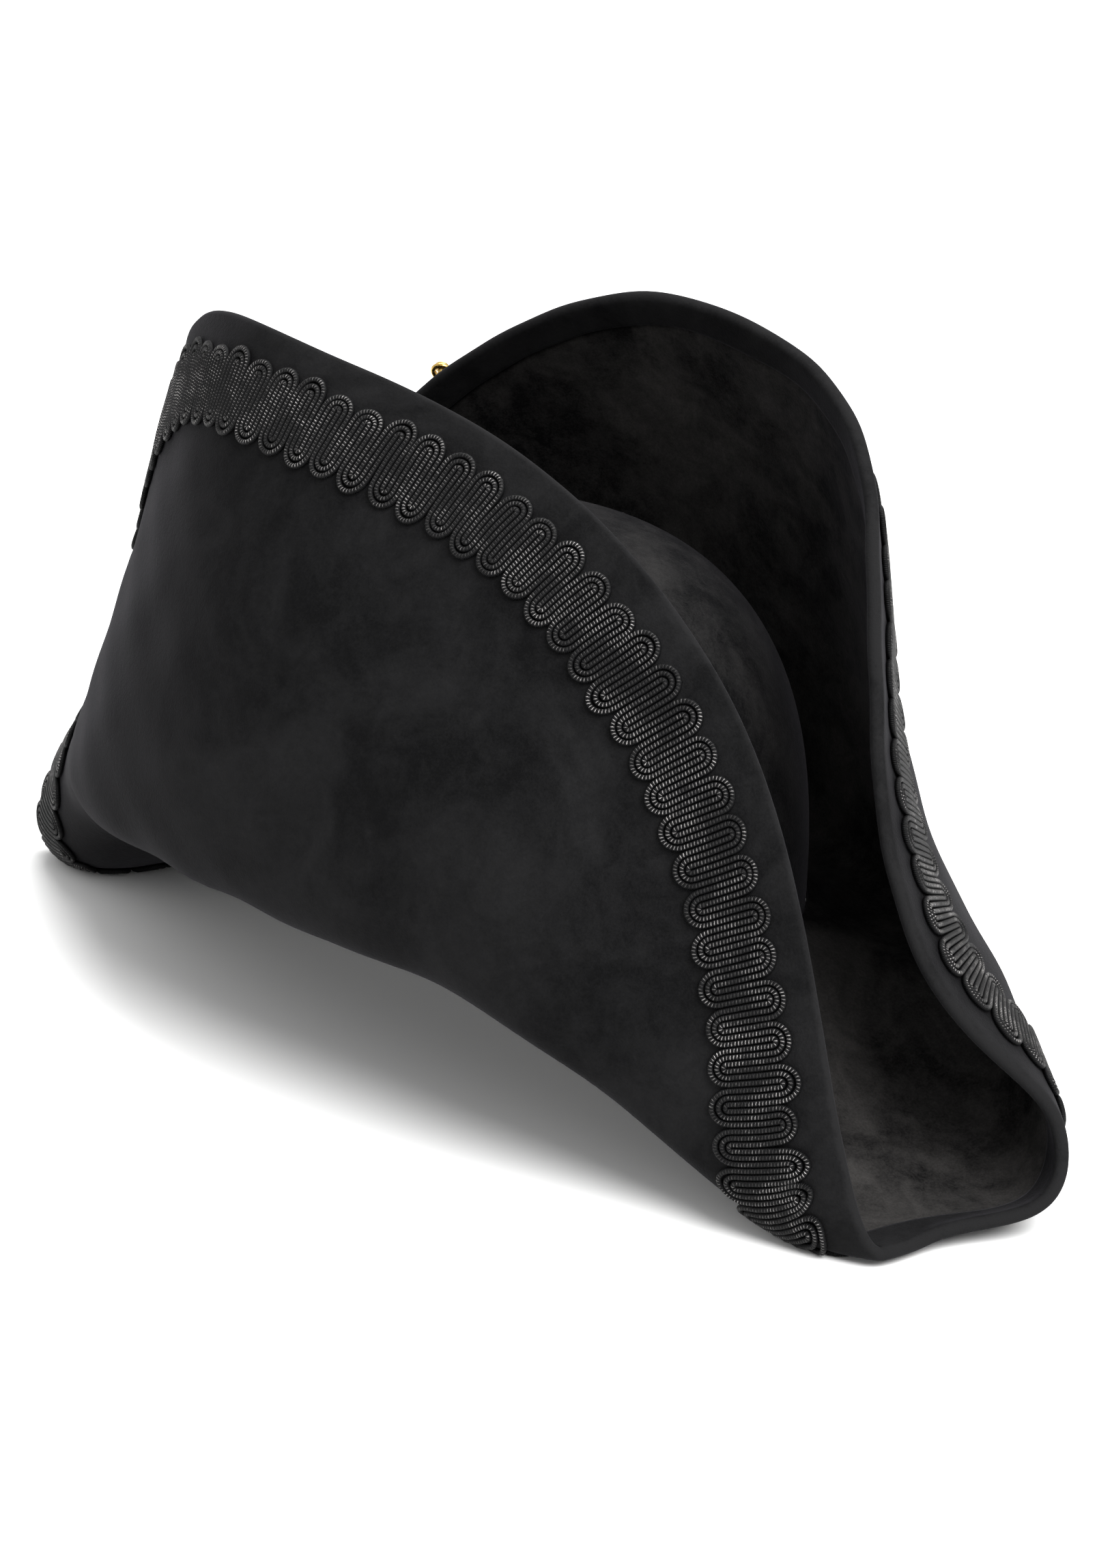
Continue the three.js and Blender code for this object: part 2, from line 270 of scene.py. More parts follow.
def soft_dents(points):
    """How far the hand-shaped felt stands out from the even surface: three slow waves across the
    place, fading out towards the ground and the crown."""
    x, y, z = points[..., 0], points[..., 1], points[..., 2]
    waves = (np.sin(71 * x + 38 * z + 0.6) * np.sin(57 * z - 33 * x + 40 * y)
             + 0.6 * np.sin(126 * x - 90 * z + 1.9) * np.sin(84 * z + 61 * y + 0.4)
             + 0.35 * np.sin(210 * z + 150 * x + 2.2))
    fade = np.clip((z - DENT_LOW) / (DENT_HIGH - DENT_LOW), 0, 1)
    return DENT_DEPTH * waves * fade * fade * (3 - 2 * fade)


# Meshes

def ring_faces(rings, sides, closed=True):
    """Quads of a grid of rings that close on themselves, the last ring joining the first if closed."""
    i = np.arange(rings if closed else rings - 1)[:, None]
    j = np.arange(sides)[None, :]
    here, after = i * sides, (i + 1) % rings * sides
    k = (j + 1) % sides
    return np.stack([here + j, after + j, after + k, here + k], -1).reshape(-1, 4)


def ring_uv(rings, sides, along, round_share):
    """Corner coordinates for ring_faces: along at the rings (one more value than rings), and a share
    round the ring that runs on to 1 at the seam."""
    along = np.asarray(along)
    share = np.append(round_share, 1.0)
    i = np.arange(rings)[:, None] + np.zeros((1, sides), int)
    j = np.arange(sides)[None, :] + np.zeros((rings, 1), int)
    u = np.stack([along[i], along[i + 1], along[i + 1], along[i]], -1)
    v = np.stack([share[j], share[j], share[j + 1], share[j + 1]], -1)
    return np.stack([u, v], -1).reshape(-1, 2)


def new_piece(name, points, faces, material, replaced, uv=None, values=None):
    """A smooth mesh object at the origin from points (n, 3) and faces, a list of arrays of one width
    each, with corner coordinates and named values at the points."""
    mesh = bpy.data.meshes.new(name)
    points = np.asarray(points, float).reshape(-1, 3)
    widths = np.concatenate([np.full(len(part), part.shape[1]) for part in faces])
    corners = np.concatenate([part.reshape(-1) for part in faces])
    mesh.vertices.add(len(points))
    mesh.vertices.foreach_set("co", points.astype(np.float32).ravel())
    mesh.loops.add(len(corners))
    mesh.loops.foreach_set("vertex_index", corners.astype(np.int32))
    mesh.polygons.add(len(widths))
    starts = np.concatenate([[0], np.cumsum(widths)[:-1]])
    mesh.polygons.foreach_set("loop_start", starts.astype(np.int32))
    mesh.update(calc_edges=True)
    mesh.polygons.foreach_set("use_smooth", np.ones(len(widths), bool))
    if uv is not None:
        mesh.uv_layers.new(name="surface").data.foreach_set("uv", uv.astype(np.float32).ravel())
    for key, numbers in (values or {}).items():
        attribute = mesh.attributes.new(key, "FLOAT", "POINT")
        attribute.data.foreach_set("value", numbers.astype(np.float32).ravel())
    mesh.materials.append(material)
    mesh.validate()
    piece = bpy.data.objects.new(name, mesh)
    bpy.context.scene.collection.objects.link(piece)
    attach(piece, "root")
    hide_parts(*replaced)
    return piece


# Materials

def new_group(name, inputs, outputs):
    """An empty shader node group with the named sockets."""
    group = bpy.data.node_groups.new(name, "ShaderNodeTree")
    for direction, sockets in (("INPUT", inputs), ("OUTPUT", outputs)):
        for label, kind in sockets:
            group.interface.new_socket(name=label, in_out=direction, socket_type="NodeSocket" + kind)
    return group


class Nodes:
    """Short ways to add and join nodes in one tree."""

    def __init__(self, tree):
        self.tree = tree

    def add(self, kind, links=None, **settings):
        """A node with its settings, and links or values for its inputs by name or number."""
        node = self.tree.nodes.new("ShaderNode" + kind if not kind.startswith("Node") else kind)
        for key, value in settings.items():
            setattr(node, key, value)
        for key, value in (links or {}).items():
            if isinstance(value, bpy.types.NodeSocket):
                self.tree.links.new(value, node.inputs[key])
            else:
                node.inputs[key].default_value = value
        return node

    def math(self, operation, *values, clamp=False):
        return self.add("Math", dict(enumerate(values)), operation=operation, use_clamp=clamp).outputs[0]

    def band(self, value, low, high, to_low=0.0, to_high=1.0):
        """A smooth step of value from low to high."""
        ends = {"Value": value, "From Min": low, "From Max": high, "To Min": to_low, "To Max": to_high}
        return self.add("MapRange", ends, interpolation_type="SMOOTHSTEP").outputs[0]

    def noise(self, vector, scale, detail=3.0, roughness=0.55, distortion=0.0):
        return self.add("TexNoise", {"Vector": vector, "Scale": scale, "Detail": detail,
                                     "Roughness": roughness, "Distortion": distortion}).outputs["Fac"]

    def mix(self, share, first, second):
        """Two colours mixed by a share."""
        node = self.add("Mix", data_type="RGBA")
        for socket, value in ((node.inputs[0], share), (node.inputs[6], first), (node.inputs[7], second)):
            if isinstance(value, bpy.types.NodeSocket):
                self.tree.links.new(value, socket)
            else:
                socket.default_value = value
        return node.outputs[2]


def colour4(colour):
    return (*colour, 1.0)


def nap_group():
    """Suede nap: slow patches where it is brushed up or down, fine fibres, and a few specks of lint."""
    name = "Suede nap"
    if name in bpy.data.node_groups:
        return bpy.data.node_groups[name]
    group = new_group(name, [("Vector", "Vector"), ("Patch scale", "Float"), ("Fibre scale", "Float")],
                      [("Brushed", "Float"), ("Lint", "Float"), ("Height", "Float")])
    n = Nodes(group)
    inputs = n.add("NodeGroupInput").outputs
    place, patch, fibre = inputs["Vector"], inputs["Patch scale"], inputs["Fibre scale"]
    slow = n.noise(place, patch, detail=4.0, roughness=0.6, distortion=0.8)
    blotch = n.noise(place, n.math("MULTIPLY", patch, 3.1), detail=3.0, roughness=0.6, distortion=1.2)
    strands = n.noise(place, fibre, detail=3.0, roughness=0.7)
    tufts = n.noise(place, n.math("MULTIPLY", fibre, 0.28), detail=3.0, roughness=0.65, distortion=0.6)
    small = n.math("MULTIPLY", n.band(blotch, 0.34, 0.7), 0.30)
    brushed = n.math("MULTIPLY_ADD", n.band(slow, 0.36, 0.66), 0.55, small)
    brushed = n.math("MULTIPLY_ADD", n.math("SUBTRACT", strands, 0.5), 0.9, brushed)
    brushed = n.math("MULTIPLY_ADD", n.math("SUBTRACT", tufts, 0.5), 0.6, brushed, clamp=True)
    specks = n.add("TexVoronoi", {"Vector": place, "Scale": 46.0, "Randomness": 1.0}, feature="F1").outputs
    chosen = n.add("SeparateColor", {"Color": specks["Color"]}).outputs[0]
    near = n.band(specks["Distance"], 0.010, 0.022, 1.0, 0.0)
    lint = n.math("MULTIPLY", near, n.math("GREATER_THAN", chosen, 0.72))
    height = n.math("MULTIPLY_ADD", tufts, 0.7, strands)
    n.add("NodeGroupOutput", {"Brushed": brushed, "Lint": lint, "Height": height})
    return group


CROWN_PAINTED_LIGHT = 0.35      # share of the inner face's painted lighter colour mixed into the crown: painted light for the lit dome


def felt_material(name, felt, hemmed):
    """Black suede. On the brim a painted highlight runs along the rim's edge, the inner face is painted
    lighter for the light it catches, and the line pressed in where the hem ends is darkened with painted
    shade. The crown is painted part of the way towards the inner face's lighter colour."""
    material = bpy.data.materials.new(name)
    material.use_nodes = True
    tree = material.node_tree
    tree.nodes.clear()
    n = Nodes(tree)
    place = n.add("TexCoord").outputs["Object"]
    nap = n.add("Group", node_tree=nap_group())
    tree.links.new(place, nap.inputs["Vector"])
    nap.inputs["Patch scale"].default_value = 17.0
    nap.inputs["Fibre scale"].default_value = 1500.0
    brushed, height = nap.outputs["Brushed"], nap.outputs["Height"]
    if hemmed:
        # Painted highlight: the nap is made paler in an uneven line along the rim's edge, where its fuzz
        # catches the light.
        edge = n.add("Attribute", attribute_name="edge").outputs["Fac"]
        edge_highlight = n.math("MULTIPLY", edge, n.band(n.noise(place, 260.0), 0.25, 0.75, 0.5, 1.0))
        brushed = n.math("ADD", brushed, n.math("MULTIPLY", edge_highlight, 0.8))
        # Painted shade: the line pressed in where the hem ends is darkened as well as dented.
        crease = n.add("Attribute", attribute_name="crease").outputs["Fac"]
        brushed = n.math("SUBTRACT", brushed, n.math("MULTIPLY", crease, 0.7))
        height = n.math("SUBTRACT", height, n.math("MULTIPLY", crease, 1.2))
    colour = n.mix(brushed, colour4(felt.colour), colour4(felt.brushed))
    # The inner face gets the lighter copy of the felt's colour: painted light on the same felt.
    inner_painted_light = n.mix(brushed, colour4(felt.colour), colour4(felt.inner_painted_light))
    inner = n.add("Attribute", attribute_name="inner").outputs["Fac"] if hemmed else CROWN_PAINTED_LIGHT
    colour = n.mix(inner, colour, inner_painted_light)
    colour = n.mix(nap.outputs["Lint"], colour, colour4(felt.lint))
    roughness = n.band(brushed, 0.0, 1.0, 0.82, 0.96)
    bump = n.add("Bump", {"Height": height, "Strength": 0.5, "Distance": 0.00035})
    shader = n.add("BsdfPrincipled", {
        "Base Color": colour, "Roughness": roughness, "Normal": bump.outputs[0],
        "Specular IOR Level": 0.05, "Sheen Weight": 0.06, "Sheen Roughness": 0.30,
        "Sheen Tint": (0.62, 0.60, 0.68, 1.0),
    })
    n.add("OutputMaterial", {"Surface": shader.outputs[0]})
    return material


def twist_group():
    """Two threads twisted round each other along a cord: a ridge for each, and on one of them a fleck
    wherever it comes to the outside, where the cord's v is 0."""
    name = "Twisted thread"
    if name in bpy.data.node_groups:
        return bpy.data.node_groups[name]
    group = new_group(name, [("UV", "Vector"), ("Turns", "Float"), ("Fleck", "Float")],
                      [("Fleck", "Float"), ("Height", "Float")])
    n = Nodes(group)
    inputs = n.add("NodeGroupInput").outputs
    parts = n.add("SeparateXYZ", {"Vector": inputs["UV"]}).outputs
    phase = n.math("ADD", n.math("MULTIPLY", parts[0], inputs["Turns"]), parts[1])
    saw = n.math("FRACT", phase)
    from_middle = n.math("ABSOLUTE", n.math("SUBTRACT", saw, 0.5))
    ridge = n.math("ABSOLUTE", n.math("SINE", n.math("MULTIPLY", phase, 2 * math.pi)))
    stretched = n.add("CombineXYZ", {0: n.math("MULTIPLY", phase, 0.37), 1: parts[1]}).outputs[0]
    uneven = n.noise(stretched, 3.0, detail=2.0)
    width = n.math("MULTIPLY", inputs["Fleck"], n.band(uneven, 0.3, 0.65, 0.3, 1.2))
    fleck = n.math("SUBTRACT", 1.0, n.math("DIVIDE", from_middle, width), clamp=True)
    from_top = n.math("MINIMUM", parts[1], n.math("SUBTRACT", 1.0, parts[1]))
    fleck = n.math("MULTIPLY", n.band(fleck, 0.05, 0.5), n.band(from_top, 0.05, 0.13, 1.0, 0.0))
    n.add("NodeGroupOutput", {"Fleck": fleck, "Height": ridge})
    return group


def braid_material(braid, cord_length):
    """Glossy black thread twisted with a fine metal one that shows as a row of glints."""
    material = bpy.data.materials.new("braid_cord")
    material.use_nodes = True
    tree = material.node_tree
    tree.nodes.clear()
    n = Nodes(tree)
    uv = n.add("UVMap", uv_map="surface").outputs[0]
    place = n.add("TexCoord").outputs["Object"]
    twist = n.add("Group", node_tree=twist_group())
    tree.links.new(uv, twist.inputs["UV"])
    twist.inputs["Turns"].default_value = round(cord_length / braid.twist)
    twist.inputs["Fleck"].default_value = 0.16
    shade = n.band(n.noise(place, 420.0, detail=4.0), 0.3, 0.7, 0.55, 1.5)
    thread = n.mix(shade, (0, 0, 0, 1), colour4(braid.colour))
    cluster = n.band(n.noise(place, 75.0, detail=4.0, roughness=0.75), 0.42, 0.68, 0.06, 1.0)
    fleck = n.math("MULTIPLY", twist.outputs["Fleck"], cluster)
    colour = n.mix(fleck, thread, colour4(braid.glint))
    roughness = n.band(fleck, 0.0, 1.0, 0.55, 0.30)
    bump = n.add("Bump", {"Height": twist.outputs["Height"], "Strength": 0.8, "Distance": 0.00022})
    shader = n.add("BsdfPrincipled", {
        "Base Color": colour, "Roughness": roughness, "Normal": bump.outputs[0],
        "Metallic": n.math("MULTIPLY", fleck, 0.9), "Specular IOR Level": 0.12,
    })
    n.add("OutputMaterial", {"Surface": shader.outputs[0]})
    return material


def gold_material(chain):
    """Bright plated metal with faint polishing marks and duller patches at random."""
    material = bpy.data.materials.new("gold_plate")
    material.use_nodes = True
    tree = material.node_tree
    tree.nodes.clear()
    n = Nodes(tree)
    place = n.add("TexCoord").outputs["Object"]
    cloud = n.noise(place, 700.0, detail=3.0)
    drawn_out = n.add("Mapping", {"Vector": place, "Scale": (900.0, 6000.0, 2500.0)}).outputs[0]
    scratch = n.noise(drawn_out, 1.0, detail=2.0)
    duller = colour4([0.62 * c for c in chain.colour])
    colour = n.mix(n.band(cloud, 0.35, 0.7), duller, colour4(chain.colour))
    roughness = n.band(n.math("ADD", cloud, scratch), 0.7, 1.3, 0.18, 0.36)
    bump = n.add("Bump", {"Height": n.math("ADD", cloud, scratch), "Strength": 0.25, "Distance": 0.0001})
    shader = n.add("BsdfPrincipled", {
        "Base Color": colour, "Roughness": roughness, "Metallic": 1.0, "Normal": bump.outputs[0],
    })
    n.add("OutputMaterial", {"Surface": shader.outputs[0]})
    return material


def floor_material(stage):
    """A plain pale floor with the faintest cloud in it."""
    material = bpy.data.materials.new("pale_floor")
    material.use_nodes = True
    tree = material.node_tree
    tree.nodes.clear()
    n = Nodes(tree)
    cloud = n.noise(n.add("TexCoord").outputs["Object"], 2.0)
    base = colour4(stage.floor_colour)
    colour = n.mix(n.band(cloud, 0.3, 0.7), colour4([0.995 * c for c in stage.floor_colour]), base)
    shader = n.add("BsdfPrincipled", {"Base Color": colour, "Roughness": 0.9, "Specular IOR Level": 0.1})
    n.add("OutputMaterial", {"Surface": shader.outputs[0]})
    return material


# Brim and crown

BRIM_RINGS = 520
FACE_ROWS = 62         # along each face
EDGE_ROWS = 9          # round the rim
HEM_ROWS = 9           # across the hem
ROUND_END = 2.2        # where the flat faces begin, in half thicknesses from the rim
EDGE_HIGHLIGHT_REACH = 2.2 * MM   # how far from the rim the painted highlight along the edge reaches
CREASE_PLACE = 1.2 * MM    # past the hem's width
CREASE_WIDTH = 1.0 * MM
INNER_START = 1.0 * MM     # past the hem's width, where the inner face's painted lighter colour begins

# The hem's step, in millimetres: how far past the hem's width, and how far out from the inner face.
# Below 0 it is the line pressed in beside the hem.
HEM_STEP = MM * np.array([
    [0.25, 1.25],
    [0.55, 0.55],
    [0.90, -0.25],
    [1.30, -0.45],
    [1.90, -0.30],
    [2.70, 0.00],
])


def brim_profile(length, felt):
    """The felt's cross-section as rows of (distance from the rim, depth below the outer face), for
    sections of each length: up the outer face, half round the rim, over the hem, down its step and
    back along the inner face."""
    thick = felt.thickness + felt.hem_rise
    radius = thick / 2
    even = np.linspace(0, 1, FACE_ROWS)
    outer = length[:, None] + (ROUND_END * radius - length[:, None]) * even
    turn = np.linspace(-math.pi / 2, math.pi / 2, EDGE_ROWS)
    edge = radius * (1 - np.cos(turn))
    edge_depth = radius * (1 + np.sin(turn))
    hem = np.linspace(ROUND_END * radius, felt.hem_width, HEM_ROWS)
    step = felt.hem_width + HEM_STEP[:, 0]
    step_depth = felt.thickness + HEM_STEP[:, 1]
    inner = step[-1] + (length[:, None] - step[-1]) * even[1:]
    rows = [(outer, 0.0), (edge, edge_depth), (hem, thick), (step, step_depth), (inner, felt.thickness)]
    shapes = [(len(length), row.shape[-1]) for row, _ in rows]
    distances = np.concatenate([np.broadcast_to(row, shape) for (row, _), shape in zip(rows, shapes)], 1)
    depths = np.concatenate([np.broadcast_to(depth, shape) for (_, depth), shape in zip(rows, shapes)], 1)
    return distances, depths


def bump_at(value, centre, width):
    """1 at the centre, falling smoothly to 0 a width away."""
    return np.clip(1 - ((value - centre) / width) ** 2, 0, 1) ** 2


class HAT_OT_brim(bpy.types.Operator):
    """Make the brim: one sheet of felt turned up into two panels, with its turned hem"""
    bl_idname = "hat.brim"
    bl_label = "Brim"

    def execute(self, context):
        felt, braid = context.scene.hat_felt, context.scene.hat_braid
        face = BrimFace(felt, braid)
        turns = np.arange(BRIM_RINGS) / BRIM_RINGS
        distances, depths = brim_profile(face.lengths(turns), felt)
        points, outward = face.at(turns, distances)
        points = points - outward * depths[..., None]
        rows = distances.shape[1]
        past_hem = distances - felt.hem_width
        inside = depths > felt.thickness / 2
        # Masks for the felt: edge places the painted highlight along the rim, crease the painted shade in
        # the pressed line, inner the painted lighter colour of the inner face.
        values = {
            "edge": np.clip(1 - distances / EDGE_HIGHLIGHT_REACH, 0, 1),
            "crease": bump_at(past_hem, CREASE_PLACE, CREASE_WIDTH) * inside,
            "inner": (past_hem > INNER_START) & inside,
        }
        uv = ring_uv(BRIM_RINGS, rows, np.linspace(0, 1, BRIM_RINGS + 1), np.arange(rows) / rows)
        material = felt_material("felt_brim", felt, True)
        faces = [ring_faces(BRIM_RINGS, rows)]
        new_piece("felt_brim", points, faces, material, ["brim"], uv, values)
        return {"FINISHED"}


CROWN_SIDES = 240
CROWN_ROWS = 90
CROWN_TOP = 89.2           # degrees of the last ring, which the cap closes
CROWN_CROWDING = 1.15      # above 1 the rings stand closer together near the edge


def crown_wall(felt, base, inset):
    """Rings of the dome from its edge to just short of the top. At a climb from 0 to 90 degrees the
    plan is the opening's ellipse times cos to the power 2 / fullness, and the height is the crown's
    times sin to the same power."""
    power = 2 / felt.crown_fullness
    shares = np.linspace(0.02, 1, CROWN_ROWS) ** CROWN_CROWDING
    climb = np.radians(np.concatenate([[0.0], CROWN_TOP * shares]))
    round_it = 2 * math.pi * np.arange(CROWN_SIDES) / CROWN_SIDES
    spread = np.cos(climb) ** power
    half_x = (felt.opening_length / 2 - inset) * spread[:, None]
    half_y = (felt.opening_width / 2 - inset) * spread[:, None]
    z = base + (felt.crown_height - inset) * np.sin(climb) ** power
    return np.stack([half_x * np.cos(round_it), half_y * np.sin(round_it),
                     np.broadcast_to(z[:, None], half_x.shape[:1] + (CROWN_SIDES,))], -1)


class HAT_OT_crown(bpy.types.Operator):
    """Make the crown: a hollow oval dome of felt, open below for the head"""
    bl_idname = "hat.crown"
    bl_label = "Crown"

    def execute(self, context):
        felt, braid = context.scene.hat_felt, context.scene.hat_braid
        face = BrimFace(felt, braid)
        outside = crown_wall(felt, face.lift, 0.0)
        inside = crown_wall(felt, face.lift, felt.thickness)
        low = [0, 0, face.lift - felt.thickness]
        lip = np.stack([wall[0] * [1, 1, 0] + low for wall in (outside, inside)])
        rings = np.concatenate([outside[::-1], lip, inside])
        top = face.lift + felt.crown_height
        tops = [[0, 0, top], [0, 0, top - felt.thickness]]
        count = len(rings)
        points = np.concatenate([rings.reshape(-1, 3), tops]) + face.axis * [1, 1, 0]
        j = np.arange(CROWN_SIDES)
        k = (j + 1) % CROWN_SIDES
        last = (count - 1) * CROWN_SIDES
        caps = np.concatenate([
            np.stack([np.full_like(j, count * CROWN_SIDES), j, k], -1),
            np.stack([last + j, np.full_like(j, count * CROWN_SIDES + 1), last + k], -1),
        ])
        new_piece("felt_crown", points, [ring_faces(count, CROWN_SIDES, closed=False), caps],
                  felt_material("felt_crown", felt, False), ["crown"])
        return {"FINISHED"}


# Braid

CORD_SIDES = 8
RUN_STEPS = 5
TURN_STEPS = 9
LOOP_STRETCH = 1.2         # how much longer than round the loops are
CORD_STEP = 1 / 6          # from one cord's middle to the next, as a share of the pitch
RIM_SAMPLES = 1441         # round the braid's middle line, for its length and lean
MOST_LEAN = 0.55           # sideways for each unit across

# How far the loops stray, in millimetres: across the braid on the crown's side and on the rim's side,
# then along it on the crown's side and on the rim's side
LOOP_SHIFTS = MM * np.array([0.6, 0.9, 0.35, 0.5])


def serpentine(offset, pitch, top, bottom):
    """One period of a cord that runs beside the braid's middle line, as places along the rim and
    distances from it: a straight run down, a half turn at the bottom, a run up, and a half turn at
    the top. The middle line turns with a quarter of the pitch as its radius, and the cord with that
    radius less its offset at the bottom and plus its offset at the top."""
    radius = pitch / 4
    down = np.linspace(0, 1, RUN_STEPS + 1)[:-1]
    angle = math.pi * np.linspace(0, 1, TURN_STEPS + 1)[:-1]
    low, high = radius - offset, radius + offset
    x = np.concatenate([offset + 0 * down, radius - low * np.cos(angle),
                        2 * radius - offset + 0 * down, 3 * radius - high * np.cos(angle)])
    y = np.concatenate([top + (bottom - top) * down, bottom + LOOP_STRETCH * low * np.sin(angle),
                        bottom + (top - bottom) * down, top - LOOP_STRETCH * high * np.sin(angle)])
    return x, y


def braid_path(face, braid, offset):
    """Turns and distances from the rim for every point of one cord. Loops are evenly spaced along the
    braid's middle, leant so that they cross it squarely, and each differs a little from the next."""
    middle = braid.margin + braid.width / 2
    fine = np.linspace(0, 1, RIM_SAMPLES)
    line, _ = face.at(fine, np.full((len(fine), 1), middle))
    inner, _ = face.at(fine, np.full((len(fine), 1), middle + MM))
    line, inner = line[:, 0], inner[:, 0]
    arc = np.concatenate([[0], np.cumsum(np.linalg.norm(np.diff(line, axis=0), axis=1))])
    tangent = np.gradient(line, axis=0)
    tangent[0] = tangent[-1] = line[1] - line[-2]
    tangent /= np.linalg.norm(tangent, axis=1, keepdims=True)
    across = (inner - line) / np.linalg.norm(inner - line, axis=1, keepdims=True)
    lean = np.clip((across * tangent).sum(1), -MOST_LEAN, MOST_LEAN)
    loops = round(arc[-1] / braid.pitch)
    pitch = arc[-1] / loops
    spare = braid.cord / 2 + LOOP_STRETCH * pitch * (1 / 4 + CORD_STEP)
    ends = braid.margin + spare, braid.margin + braid.width - spare
    x, y = serpentine(offset * CORD_STEP * pitch, pitch, *ends)
    index = np.repeat(np.arange(loops), len(x))
    rising = np.tile(np.arange(len(x)) >= RUN_STEPS + TURN_STEPS // 2, loops)
    top_index = np.where(rising, index, index - 1) % loops
    x = np.tile(x, loops) + index * pitch
    y = np.tile(y, loops)
    jitter = np.random.default_rng(7).normal(0, 1, (4, loops)) * LOOP_SHIFTS[:, None]
    away = np.clip((y - middle) / (braid.width / 2), -1, 1)
    low, high = np.clip(away, 0, 1) ** 1.5, np.clip(-away, 0, 1) ** 1.5
    y = y + jitter[0, index] * low - jitter[1, top_index] * high
    x = x + jitter[2, index] * low + jitter[3, top_index] * high
    x = x - np.interp(x % arc[-1], arc, lean) * (y - middle)
    turns = np.interp(x % arc[-1], arc, fine)
    return turns, y


def tube(path, outward, radius):
    """Rings of a cord along a closed path: circles across it, turned so that the first side faces
    out of the felt."""
    along = np.roll(path, -1, 0) - np.roll(path, 1, 0)
    along /= np.linalg.norm(along, axis=1, keepdims=True)
    out = outward - along * (outward * along).sum(1, keepdims=True)
    out /= np.linalg.norm(out, axis=1, keepdims=True)
    side = np.cross(along, out)
    angle = 2 * math.pi * np.arange(CORD_SIDES) / CORD_SIDES
    circle = np.cos(angle)[:, None] * out[:, None] + np.sin(angle)[:, None] * side[:, None]
    return path[:, None] + radius * circle


class HAT_OT_braid(bpy.types.Operator):
    """Make the braid: three twisted cords that loop to and fro side by side along the rim"""
    bl_idname = "hat.braid"
    bl_label = "Looped braid"

    def execute(self, context):
        felt, braid = context.scene.hat_felt, context.scene.hat_braid
        face = BrimFace(felt, braid)
        radius = braid.cord / 2
        for number, offset in enumerate((-1, 0, 1), 1):
            turns, distance = braid_path(face, braid, offset)
            points, outward = face.at(turns, distance[:, None])
            path = points[:, 0] + outward[:, 0] * (radius + CORD_GAP)
            rings = tube(path, outward[:, 0], radius)
            rings[..., 2] = np.maximum(rings[..., 2], 0)
            steps = np.linalg.norm(np.roll(path, -1, 0) - path, axis=1)
            along = np.concatenate([[0], np.cumsum(steps)])
            if number == 1:
                material = braid_material(braid, along[-1])
            uv = ring_uv(len(path), CORD_SIDES, along / along[-1], np.arange(CORD_SIDES) / CORD_SIDES)
            new_piece(f"braid_cord_{number}", rings, [ring_faces(len(path), CORD_SIDES)], material,
                      ["braid_trim"], uv)
        return {"FINISHED"}


# Chain

LINK_NODES = ["chain_link_1", "chain_link_2", "chain_link_3", "chain_link_4"]
LINK_STEPS = 56
WIRE_SIDES = 16
STUD_SIDES = 32

# The stud's outline from its foot to its top. Its radius is a share of the head's and millimetres more,
# and its height is a share of the stud's length and millimetres more.
STUD_OUTLINE = np.array([
    [0.00, 0.05, 0, 0.00],
    [0.00, 0.80, 0, 0.00],
    [0.00, 1.00, 0, 0.20],
    [0.00, 1.00, 1, -1.25],
    [0.90, 0.00, 1, -1.20],
    [1.00, 0.00, 1, -1.00],
    [1.00, 0.00, 1, -0.80],
    [0.93, 0.00, 1, -0.55],
    [0.72, 0.00, 1, -0.25],
    [0.40, 0.00, 1, -0.06],
    [0.00, 0.05, 1, 0.00],
])


def principal_axes(node):
    """The middle of a CAD node and its directions from longest to shortest."""
    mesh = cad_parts[node].data
    points = np.empty(len(mesh.vertices) * 3, np.float32)
    mesh.vertices.foreach_get("co", points)
    points = np.unique(np.round(points.reshape(-1, 3).astype(float), 6), axis=0)
    middle = points.mean(0)
    _, _, axes = np.linalg.svd(points - middle)
    spread = (points - middle) @ axes.T
    middle = middle + (spread.max(0) + spread.min(0)) / 2 @ axes
    return middle, axes, spread.max(0) - spread.min(0)


def link_rings(middle, axes, size, wire):
    """A round wire carried round a long ring: two half circles joined by straights."""
    reach = (size[1] - wire) / 2
    straight = (size[0] - size[1]) / 2
    angle = 2 * math.pi * (np.arange(LINK_STEPS) + 0.5) / LINK_STEPS
    out = np.stack([np.cos(angle), np.sin(angle)], -1)
    path = reach * out + np.stack([np.sign(np.cos(angle)) * straight, 0 * angle], -1)
    section = 2 * math.pi * np.arange(WIRE_SIDES) / WIRE_SIDES
    flat = path[:, None] + wire / 2 * np.cos(section)[None, :, None] * out[:, None]
    rise = np.broadcast_to(wire / 2 * np.sin(section)[None, :], flat.shape[:2])
    normal = np.cross(axes[0], axes[1])
    return middle + flat[..., :1] * axes[0] + flat[..., 1:] * axes[1] - rise[..., None] * normal


